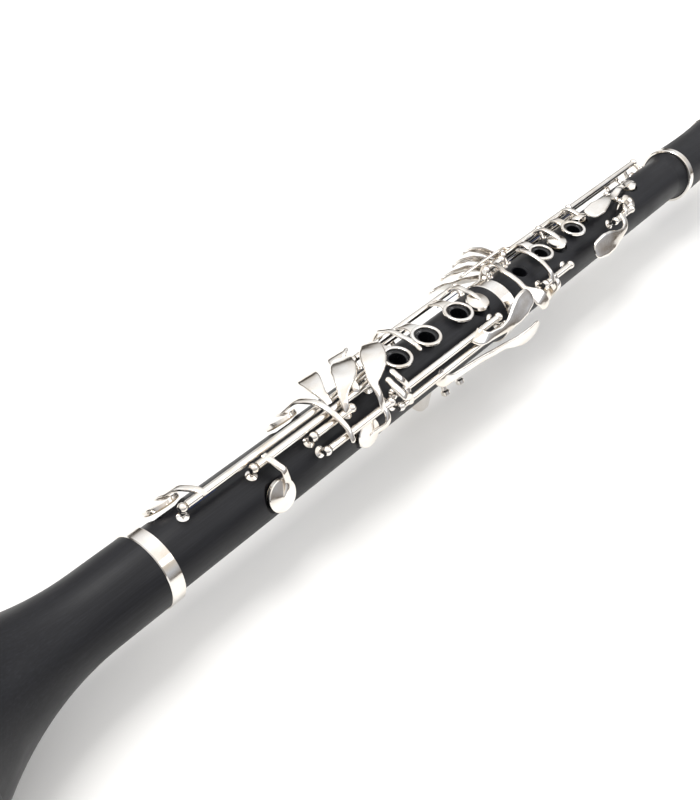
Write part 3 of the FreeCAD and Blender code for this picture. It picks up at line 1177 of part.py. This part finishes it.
def crosswise_key(label, saddle, shapes):
    """A rocking key on a crosswise hinge, with its hinge barrel."""
    x, angle, radius = saddles()[saddle]
    reach = D["saddle_half_w"] - 1.9
    start = at(x, angle, radius) - saddle_axis(angle) * reach
    barrel_shape = Part.makeCylinder(D["tube_r"], 2 * reach, start, saddle_axis(angle))
    hole = Part.makeCylinder(D["rod_r"] * 0.8 + 0.05, 4 * reach, start - saddle_axis(angle) * reach, saddle_axis(angle))
    return feature(label, fused([barrel_shape] + shapes).cut(hole))


def throat_a_key():
    """The throat A key, a rocking lever in front."""
    x, angle = D["throat_x"], D["throat_a"]
    top = cup_top(x) + 0.1
    pivot_x, pivot_r = D["throat_pivot_x"], D["throat_pivot_r"] + 1.6
    lever = blade([
        (427, -3, 20.4, 9, ARM_T), (433, -3, 20.6, 10, ARM_T), (440, -2, 20.6, 7, ARM_T),
        (447, 0, pivot_r + 0.8, 4, ARM_T), (pivot_x, 0, pivot_r, 4, ARM_T), (460, 3, pivot_r + 0.6, 3.4, ARM_T),
        (470, 9, top + 0.3, 3.2, ARM_T), (x, angle, top - 0.4, 3.2, ARM_T)], round_start=True, round_end=True)
    seat = seat_r(x)
    feature("throat_a_key_pad", pad(x, angle, seat, D["small_cup_r"]))
    crosswise_key("throat_a_key", "throat", [lever, cup(x, angle, seat, D["small_cup_r"])])


def register_key():
    """The register key behind, worked by the left thumb."""
    x = D["register_x"]
    top = cup_top(x) + 0.1
    pivot_x, pivot_r = D["register_pivot_x"], D["register_pivot_r"] + 1.6
    lever = blade([
        (429, 180, 19.6, 6, ARM_T), (435, 180, 20.2, 7, ARM_T), (445, 180, pivot_r + 1.4, 5, ARM_T),
        (pivot_x, 180, pivot_r, 4, ARM_T), (485, 180, pivot_r + 0.6, 3.6, ARM_T), (495, 180, top + 0.3, 3.4, ARM_T),
        (x, 180, top - 0.4, 3.2, ARM_T)], round_start=True, round_end=True)
    seat = seat_r(x)
    feature("register_key_pad", pad(x, 180, seat, D["small_cup_r"]))
    crosswise_key("register_key", "register", [lever, cup(x, 180, seat, D["small_cup_r"])])


# ---------------------------------------------------------------- springs

def needle_springs():
    """The blued needle springs, from the posts along the tubes."""
    solids = []
    for line, x, side in SPRINGS:
        angle, radius = LINES[line]
        start = x + D["stem_r"] if side > 0 else x - D["stem_r"] - D["spring_len"]
        solids.append(rod(start, start + D["spring_len"], angle, radius - D["spring_drop"], D["spring_r"]))
    feature("needle_springs", Part.makeCompound(solids))


# Each needle spring is (hinge line, post, direction along the bore).
SPRINGS = [
    ("one", 121.0, 1), ("two", 156.0, 1), ("right", 190.0, 1), ("lever", 319.0, -1), ("rings", 326.0, -1),
    ("uprings", 400.0, -1), ("uprings", 431.0, -1), ("cross", 387.0, -1), ("side_1", 361.0, 1), ("side_2", 361.0, 1),
    ("side_3", 361.0, 1), ("side_4", 361.0, 1),
]


# ---------------------------------------------------------------- the whole instrument

def build():
    """Makes every sub-part."""
    low_holes, high_holes = padded_holes()
    bell()
    lower_joint(low_holes)
    upper_joint(high_holes)
    barrel()
    mouthpiece()
    tenon_corks()
    reed()
    ligature()
    chimneys("lower_chimneys", LOWER_FINGERS, D["chimney_low_z"], D["chimney_r"], D["finger_hole_r"])
    chimneys("upper_chimneys", UPPER_FINGERS, D["chimney_up_z"], D["up_chimney_r"], D["up_hole_r"])
    chimneys("thumb_bush", [D["thumb_x"]], D["chimney_up_z"], D["up_chimney_r"], 3.0, 180)
    thumb_rest()
    posts("lower_posts", LOWER_POSTS, back_pins())
    saddle_stands, saddle_screws = saddle_pieces()
    posts("upper_posts", UPPER_POSTS, saddle_stands)
    hinge_rods("lower_hinge_rods", LOWER_RODS)
    hinge_rods("upper_hinge_rods", UPPER_RODS, saddle_screws)
    needle_springs()
    for make in (low_e_key, low_f_key, low_f_sharp_key, low_a_flat_key, left_e_lever, left_f_sharp_lever,
                 lower_ring_key, sliver_key, c_sharp_key, bridge_key, upper_ring_key, cross_key, g_sharp_key,
                 thumb_ring_key, throat_a_key, register_key):
        make()
    for number in (1, 2, 3, 4):
        side_key(number)


def write():
    """Checks every object and writes each sub-part to its own file."""
    doc.recompute()
    for item in doc.Objects:
        if "Invalid" in item.State or "Error" in item.State:
            raise RuntimeError(f"{item.Label} did not recompute: {item.State}")
    for label, item in parts.items():
        if item.Shape.isNull() or not item.Shape.isValid():
            raise RuntimeError(f"{label} has no valid shape")
    os.makedirs("parts", exist_ok=True)
    for label, item in parts.items():
        item.Shape.exportStep(f"parts/{label}.step")
    print(len(parts), "sub-parts")


build()
write()
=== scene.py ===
import json
import math

import bmesh
import bpy
import numpy as np
from mathutils import Matrix, Vector

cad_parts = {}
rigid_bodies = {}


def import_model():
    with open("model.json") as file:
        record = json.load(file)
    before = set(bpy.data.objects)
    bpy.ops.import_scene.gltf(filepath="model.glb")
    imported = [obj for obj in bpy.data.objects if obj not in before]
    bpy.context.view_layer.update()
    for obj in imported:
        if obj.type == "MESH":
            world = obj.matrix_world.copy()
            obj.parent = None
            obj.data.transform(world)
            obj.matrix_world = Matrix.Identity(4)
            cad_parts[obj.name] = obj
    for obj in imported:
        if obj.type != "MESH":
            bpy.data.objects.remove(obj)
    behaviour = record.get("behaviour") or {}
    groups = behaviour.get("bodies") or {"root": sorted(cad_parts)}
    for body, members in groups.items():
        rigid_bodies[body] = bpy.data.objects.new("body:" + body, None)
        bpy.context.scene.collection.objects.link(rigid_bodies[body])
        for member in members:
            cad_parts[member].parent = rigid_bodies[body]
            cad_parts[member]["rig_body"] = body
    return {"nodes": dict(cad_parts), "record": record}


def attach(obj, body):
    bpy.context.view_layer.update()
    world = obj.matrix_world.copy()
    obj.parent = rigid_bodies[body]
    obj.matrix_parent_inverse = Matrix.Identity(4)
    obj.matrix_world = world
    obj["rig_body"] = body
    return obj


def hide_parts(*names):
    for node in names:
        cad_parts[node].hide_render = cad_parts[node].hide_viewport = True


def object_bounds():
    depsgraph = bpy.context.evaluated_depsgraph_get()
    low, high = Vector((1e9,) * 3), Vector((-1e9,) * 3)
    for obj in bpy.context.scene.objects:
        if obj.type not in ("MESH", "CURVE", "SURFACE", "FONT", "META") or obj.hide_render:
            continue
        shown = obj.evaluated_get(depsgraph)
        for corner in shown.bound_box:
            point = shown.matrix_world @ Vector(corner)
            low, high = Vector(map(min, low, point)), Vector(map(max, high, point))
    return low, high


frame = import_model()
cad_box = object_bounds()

# ---------------------------------------------------------------- camera

CAMERA_PLACE = Vector((-0.06927, -0.19446, 0.35180))
CAMERA_HEADING = math.radians(33.756)
CAMERA_TILT = math.radians(-45.891)
CAMERA_ROLL = math.radians(9.470)
CAMERA_LENS = 49.06
CAMERA_SENSOR = 36
CAMERA_SHIFT = (0.0084, 0.0415)
CAMERA_CLIP = (0.01, 50)


def camera_directions():
    """The camera's right, up and viewing directions."""
    ahead = Vector((
        math.cos(CAMERA_TILT) * math.cos(CAMERA_HEADING),
        math.cos(CAMERA_TILT) * math.sin(CAMERA_HEADING),
        math.sin(CAMERA_TILT),
    ))
    level = ahead.cross(Vector((0, 0, 1))).normalized()
    above = level.cross(ahead)
    right = math.cos(CAMERA_ROLL) * level + math.sin(CAMERA_ROLL) * above
    up = math.cos(CAMERA_ROLL) * above - math.sin(CAMERA_ROLL) * level
    return right, up, ahead


def make_camera():
    """The camera, behind the bell and above it, looking down along the instrument."""
    right, up, ahead = camera_directions()
    data = bpy.data.cameras.new("camera")
    data.lens = CAMERA_LENS
    data.sensor_width = CAMERA_SENSOR
    data.shift_x, data.shift_y = CAMERA_SHIFT
    data.clip_start, data.clip_end = CAMERA_CLIP
    camera = bpy.data.objects.new("camera", data)
    turn = Matrix((right, up, -ahead)).transposed()
    camera.matrix_world = Matrix.Translation(CAMERA_PLACE) @ turn.to_4x4()
    bpy.context.scene.collection.objects.link(camera)
    bpy.context.scene.camera = camera


# ---------------------------------------------------------------- shader helpers

# The Mix node's colour sockets, which share their names with its other sockets.
MIX_FIRST = 6
MIX_SECOND = 7
MIX_RESULT = 2


def new_material(name):
    """A material, its node tree and its Principled shader."""
    material = bpy.data.materials.new(name)
    material.use_nodes = True
    return material, material.node_tree, material.node_tree.nodes["Principled BSDF"]


def stretched(tree, texture, stretch):
    """Gives a texture the object's own coordinates, with so many features to the metre along each axis."""
    place = tree.nodes.new("ShaderNodeTexCoord")
    mapping = tree.nodes.new("ShaderNodeMapping")
    mapping.inputs["Scale"].default_value = stretch
    texture.inputs["Scale"].default_value = 1.0
    tree.links.new(place.outputs["Object"], mapping.inputs["Vector"])
    tree.links.new(mapping.outputs["Vector"], texture.inputs["Vector"])


def noise(tree, stretch, detail=3.0, rough=0.5):
    """Noise over the object."""
    texture = tree.nodes.new("ShaderNodeTexNoise")
    texture.inputs["Detail"].default_value = detail
    texture.inputs["Roughness"].default_value = rough
    stretched(tree, texture, stretch)
    return texture.outputs["Fac"]


def cells(tree, stretch):
    """The distance to the nearest edge of a net of cells over the object."""
    texture = tree.nodes.new("ShaderNodeTexVoronoi")
    texture.feature = "DISTANCE_TO_EDGE"
    stretched(tree, texture, stretch)
    return texture.outputs["Distance"]


def spread(tree, value, low, high, start=0.3, end=0.7):
    """A value from start to end, spread over low to high."""
    node = tree.nodes.new("ShaderNodeMapRange")
    node.inputs["From Min"].default_value = start
    node.inputs["From Max"].default_value = end
    node.inputs["To Min"].default_value = low
    node.inputs["To Max"].default_value = high
    tree.links.new(value, node.inputs["Value"])
    return node.outputs["Result"]


def ramp(tree, value, stops):
    """Colours at (place, colour) stops along a value."""
    node = tree.nodes.new("ShaderNodeValToRGB")
    edge = node.color_ramp.elements
    while len(edge) < len(stops):
        edge.new(0.5)
    for element, (place, colour) in zip(edge, stops):
        element.position = place
        element.color = (*colour, 1.0)
    tree.links.new(value, node.inputs["Fac"])
    return node.outputs["Color"]


def blend(tree, share, first, second):
    """The first colour where share is 0 and the second where it is 1."""
    node = tree.nodes.new("ShaderNodeMix")
    node.data_type = "RGBA"
    tree.links.new(share, node.inputs["Factor"])
    tree.links.new(first, node.inputs[MIX_FIRST])
    tree.links.new(second, node.inputs[MIX_SECOND])
    return node.outputs[MIX_RESULT]


def bump(tree, shader, value, strength, depth):
    """Relief in the surface's shading, from a value, with a depth in metres."""
    node = tree.nodes.new("ShaderNodeBump")
    node.inputs["Strength"].default_value = strength
    node.inputs["Distance"].default_value = depth
    tree.links.new(value, node.inputs["Height"])
    tree.links.new(node.outputs["Normal"], shader.inputs["Normal"])


# ---------------------------------------------------------------- materials

# How much rougher a glossy moulding is where its surface is at its most uneven.
GLOSS_UNEVEN = 0.09


def black_body():
    """Satin black, with the fine lengthwise grain of turned and rubbed wood."""
    material, tree, shader = new_material("body_black")
    grain = noise(tree, (45, 1400, 1400), detail=4.0, rough=0.6)
    cloud = noise(tree, (38, 60, 60), detail=2.0)
    colour = ramp(tree, grain, [
        (0.25, (0.0036, 0.0037, 0.0050)),
        (0.55, (0.0066, 0.0068, 0.0092)),
        (0.80, (0.0125, 0.0128, 0.0165)),
    ])
    tree.links.new(colour, shader.inputs["Base Color"])
    tree.links.new(spread(tree, cloud, 0.38, 0.52), shader.inputs["Roughness"])
    shader.inputs["Specular IOR Level"].default_value = 0.26
    bump(tree, shader, grain, strength=0.25, depth=0.00006)
    return material


def gloss_black(name, roughness):
    """Glossy black plastic, faintly uneven from moulding."""
    material, tree, shader = new_material(name)
    smear = noise(tree, (160, 160, 160))
    colour = ramp(tree, smear, [
        (0.3, (0.006, 0.006, 0.0075)),
        (0.7, (0.011, 0.0112, 0.0135)),
    ])
    tree.links.new(colour, shader.inputs["Base Color"])
    tree.links.new(spread(tree, smear, roughness, roughness + GLOSS_UNEVEN), shader.inputs["Roughness"])
    shader.inputs["Coat Weight"].default_value = 0.35
    shader.inputs["Coat Roughness"].default_value = 0.06
    bump(tree, shader, smear, strength=0.06, depth=0.0001)
    return material


def silver():
    """Polished silver plate, with faint polishing swirls and a warm tarnish that comes and goes."""
    material, tree, shader = new_material("silver_plate")
    cloud = noise(tree, (70, 110, 110))
    swirl = noise(tree, (900, 2600, 2600), rough=0.6)
    colour = ramp(tree, cloud, [
        (0.28, (0.74, 0.675, 0.59)),
        (0.50, (0.83, 0.79, 0.74)),
        (0.72, (0.88, 0.86, 0.83)),
    ])
    tree.links.new(colour, shader.inputs["Base Color"])
    shader.inputs["Metallic"].default_value = 1.0
    tree.links.new(spread(tree, cloud, 0.07, 0.17), shader.inputs["Roughness"])
    bump(tree, shader, swirl, strength=0.05, depth=0.00004)
    return material


def steel(name, low, high, rough_low, rough_high):
    """Drawn steel wire, with fine lines along it."""
    material, tree, shader = new_material(name)
    lines = noise(tree, (60, 5200, 5200), detail=2.0)
    tree.links.new(ramp(tree, lines, [(0.3, low), (0.7, high)]), shader.inputs["Base Color"])
    shader.inputs["Metallic"].default_value = 1.0
    tree.links.new(spread(tree, lines, rough_low, rough_high), shader.inputs["Roughness"])
    bump(tree, shader, lines, strength=0.15, depth=0.00003)
    return material


def pad_skin():
    """Thin cream skin stretched over felt, with fine creases and a few darker stains."""
    material, tree, shader = new_material("pad_skin")
    crease = cells(tree, (1500, 1500, 1500))
    stain = noise(tree, (420, 420, 420), detail=4.0)
    colour = ramp(tree, stain, [
        (0.25, (0.62, 0.46, 0.28)),
        (0.50, (0.80, 0.67, 0.48)),
        (0.75, (0.88, 0.79, 0.63)),
    ])
    tree.links.new(colour, shader.inputs["Base Color"])
    tree.links.new(spread(tree, stain, 0.42, 0.62), shader.inputs["Roughness"])
    shader.inputs["Subsurface Weight"].default_value = 0.15
    shader.inputs["Subsurface Radius"].default_value = (0.0012, 0.0008, 0.0005)
    shader.inputs["Sheen Weight"].default_value = 0.12
    bump(tree, shader, crease, strength=0.25, depth=0.00008)
    return material


def cork():
    """Cork, with darker pores."""
    material, tree, shader = new_material("cork")
    pores = noise(tree, (900, 900, 900), detail=5.0, rough=0.7)
    colour = ramp(tree, pores, [
        (0.30, (0.13, 0.055, 0.022)),
        (0.45, (0.42, 0.23, 0.11)),
        (0.70, (0.60, 0.37, 0.19)),
    ])
    tree.links.new(colour, shader.inputs["Base Color"])
    tree.links.new(spread(tree, pores, 0.9, 0.65), shader.inputs["Roughness"])
    bump(tree, shader, pores, strength=0.6, depth=0.00025)
    return material


def cane():
    """Cane, with straight lengthwise fibres."""
    material, tree, shader = new_material("cane")
    fibre = noise(tree, (30, 2600, 2600), detail=4.0, rough=0.65)
    colour = ramp(tree, fibre, [
        (0.25, (0.46, 0.30, 0.11)),
        (0.50, (0.66, 0.49, 0.22)),
        (0.75, (0.78, 0.64, 0.35)),
    ])
    tree.links.new(colour, shader.inputs["Base Color"])
    tree.links.new(spread(tree, fibre, 0.6, 0.42), shader.inputs["Roughness"])
    bump(tree, shader, fibre, strength=0.3, depth=0.00008)
    return material


def make_materials():
    """Each finish under the name of its material slot."""
    return {
        "body_black": black_body(),
        "chimney_black": gloss_black("chimney_black", 0.12),
        "mouthpiece_black": gloss_black("mouthpiece_black", 0.10),
        "silver_plate": silver(),
        "hinge_steel": steel("hinge_steel", (0.50, 0.49, 0.47), (0.72, 0.71, 0.69), 0.16, 0.28),
        "blued_steel": steel("blued_steel", (0.020, 0.030, 0.075), (0.06, 0.085, 0.17), 0.22, 0.36),
        "pad_skin": pad_skin(),
        "cork": cork(),
        "cane": cane(),
    }


def dress_frame(materials):
    """Gives every CAD node its finish."""
    for row in frame["record"]["subparts"]:
        node = frame["nodes"][row["node"]]
        node.data.materials.clear()
        node.data.materials.append(materials[row["material_slot"]])


# ---------------------------------------------------------------- pads

PAD_STEPS = 56
CENTRING_PASSES = 3

# The skin pad's size as a share of the plain pad that it replaces.
PAD_MARGIN = 0.985

# The radius of the dent that the tone hole's rim leaves, as a share of the pad's radius.
DENT = 0.78

# A pad's outline from the middle of its face to the middle of its back: a dented face and round edges.
# Each point is a share of the pad's radius and a share of half its thickness, from -1 at the face to 1 at
# the back.
PAD_OUTLINE = [
    (0, -0.90), (DENT * 0.5, -0.94), (DENT * 0.86, -0.92),
    (DENT * 0.95, -0.78), (DENT * 1.03, -0.78), (DENT * 1.10, -0.97),
    (0.93, -1), (0.985, -0.86), (1, -0.58), (0.995, -0.1),
    (0.985, 0.5), (0.97, 0.92), (0.93, 1), (0.5, 1), (0, 1),
]


def disc_frame(node):
    """Where a disc-shaped node is: its centre, its outward axis, its radius and half its thickness."""
    points = np.array([v.co for v in frame["nodes"][node].data.vertices])
    centre = (points.min(0) + points.max(0)) / 2
    for _ in range(CENTRING_PASSES):
        offsets = points - centre
        axis = np.linalg.svd(offsets, full_matrices=False)[2][-1]
        along = offsets @ axis
        centre = centre + axis * (along.max() + along.min()) / 2
    outward = np.array([0.0, centre[1], centre[2]])
    if axis @ outward < 0:
        axis = -axis
    offsets = points - centre
    along = offsets @ axis
    across = np.linalg.norm(offsets - np.outer(along, axis), axis=1)
    return Vector(centre), Vector(axis), float(across.max()), float(np.abs(along).max())


def turned_rows(bm, profile, centre, axis, steps):
    """Rows of points around an axis, one for each (radius, height), or a single point at radius 0."""
    side = axis.orthogonal().normalized()
    other = axis.cross(side)
    turns = [2 * math.pi * i / steps for i in range(steps)]
    rows = []
    for radius, height in profile:
        middle = centre + axis * height
        if radius == 0:
            rows.append([bm.verts.new(middle)])
            continue
        spokes = [side * math.cos(t) + other * math.sin(t) for t in turns]
        rows.append([bm.verts.new(middle + spoke * radius) for spoke in spokes])
    return rows


def join_rows(bm, below, above, steps):
    """The faces between two rows, which come to a point where a row is a single point."""
    for i in range(steps):
        j = (i + 1) % steps
        if len(below) == 1:
            bm.faces.new((below[0], above[i], above[j]))
        elif len(above) == 1:
            bm.faces.new((below[i], above[0], below[j]))
        else:
            bm.faces.new((below[i], above[i], above[j], below[j]))


def lathed(name, profile, centre, axis, steps):
    """A piece turned about an axis through centre, from (radius, height) points that start and end on it."""
    bm = bmesh.new()
    rows = turned_rows(bm, profile, centre, axis, steps)
    for below, above in zip(rows, rows[1:]):
        join_rows(bm, below, above, steps)
    bmesh.ops.recalc_face_normals(bm, faces=bm.faces)
    mesh = bpy.data.meshes.new(name)
    bm.to_mesh(mesh)
    bm.free()
    mesh.polygons.foreach_set("use_smooth", [True] * len(mesh.polygons))
    piece = bpy.data.objects.new(name, mesh)
    bpy.context.scene.collection.objects.link(piece)
    return piece


def make_pads(material):
    """A crowned skin pad in the place of each plain one."""
    for name in sorted(frame["nodes"]):
        if not name.endswith("_pad"):
            continue
        centre, axis, radius, half = disc_frame(name)
        radius *= PAD_MARGIN
        half *= PAD_MARGIN
        profile = [(radius * across, half * along) for across, along in PAD_OUTLINE]
        piece = lathed(name + "_skin", profile, centre, axis, PAD_STEPS)
        piece.data.materials.append(material)
        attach(piece, frame["nodes"][name]["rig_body"])
        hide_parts(name)


# ---------------------------------------------------------------- studio

FLOOR_SPAN = 6.0
FLOOR_MARGIN = 0.0002
SKY_STRENGTH = 1.12


def floor_material():
    """Matt white card, barely uneven."""
    material, tree, shader = new_material("floor_card")
    cloud = noise(tree, (9, 9, 9))
    colour = ramp(tree, cloud, [
        (0.3, (0.86, 0.855, 0.84)),
        (0.7, (0.89, 0.885, 0.875)),
    ])
    tree.links.new(colour, shader.inputs["Base Color"])
    shader.inputs["Roughness"].default_value = 0.9
    shader.inputs["Specular IOR Level"].default_value = 0.1
    return material


def make_floor():
    """The pale floor that the instrument lies on."""
    half = FLOOR_SPAN / 2
    height = cad_box[0].z - FLOOR_MARGIN
    middle = (cad_box[0] + cad_box[1]) / 2
    corners = [(-half, -half), (half, -half), (half, half), (-half, half)]
    mesh = bpy.data.meshes.new("floor")
    mesh.from_pydata([(middle.x + x, middle.y + y, height) for x, y in corners], [], [(0, 1, 2, 3)])
    mesh.materials.append(floor_material())
    floor = bpy.data.objects.new("floor", mesh)
    bpy.context.scene.collection.objects.link(floor)


def soft_light(name, place, target, size, power, colour):
    """A square soft box at place that faces target."""
    data = bpy.data.lights.new(name, "AREA")
    data.shape = "SQUARE"
    data.size = size
    data.energy = power
    data.color = colour
    light = bpy.data.objects.new(name, data)
    light.location = place
    light.rotation_mode = "QUATERNION"
    light.rotation_quaternion = (Vector(target) - Vector(place)).to_track_quat("-Z", "Y")
    bpy.context.scene.collection.objects.link(light)


def sky_colour(tree):
    """Colours over height, one set towards +Y, on the camera's left, and another towards -Y, on its right."""
    place = tree.nodes.new("ShaderNodeTexCoord")
    parts = tree.nodes.new("ShaderNodeSeparateXYZ")
    tree.links.new(place.outputs["Generated"], parts.inputs["Vector"])
    height = spread(tree, parts.outputs["Z"], 0.0, 1.0, start=-0.1, end=0.9)
    left = ramp(tree, height, [
        (0.00, (0.70, 0.68, 0.65)),
        (0.10, (0.05, 0.045, 0.04)),
        (0.26, (0.10, 0.09, 0.08)),
        (0.38, (0.55, 0.54, 0.53)),
        (0.55, (0.86, 0.87, 0.89)),
        (0.92, (1.20, 1.20, 1.20)),
    ])
    right = ramp(tree, height, [
        (0.00, (0.62, 0.56, 0.50)),
        (0.10, (0.12, 0.10, 0.08)),
        (0.20, (0.30, 0.29, 0.29)),
        (0.40, (0.50, 0.52, 0.56)),
        (0.66, (0.68, 0.65, 0.62)),
        (0.92, (1.15, 1.13, 1.10)),
    ])
    side = spread(tree, parts.outputs["Y"], 1.0, 0.0, start=-0.55, end=0.25)
    return blend(tree, side, left, right)


def make_sky():
    """A pale room, brightest overhead, with a dark band round the horizon for the metal to mirror."""
    world = bpy.data.worlds.new("studio")
    world.use_nodes = True
    tree = world.node_tree
    background = tree.nodes["Background"]
    tree.links.new(sky_colour(tree), background.inputs["Color"])
    background.inputs["Strength"].default_value = SKY_STRENGTH
    bpy.context.scene.world = world


def make_lights():
    """A soft box high above the instrument, and a weaker, cooler one to its side beyond the mouthpiece."""
    soft_light("key_light", place=(0.20, 0.34, 1.08), target=(0.24, 0.0, 0.0),
               size=0.5, power=7.5, colour=(1.0, 0.985, 0.96))
    soft_light("fill_light", place=(0.85, -0.55, 0.65), target=(0.25, 0.0, 0.0),
               size=0.7, power=2.0, colour=(0.93, 0.96, 1.0))


make_camera()
finishes = make_materials()
dress_frame(finishes)
make_pads(finishes["pad_skin"])
make_floor()
make_sky()
make_lights()
bpy.context.scene.view_settings.view_transform = "Standard"
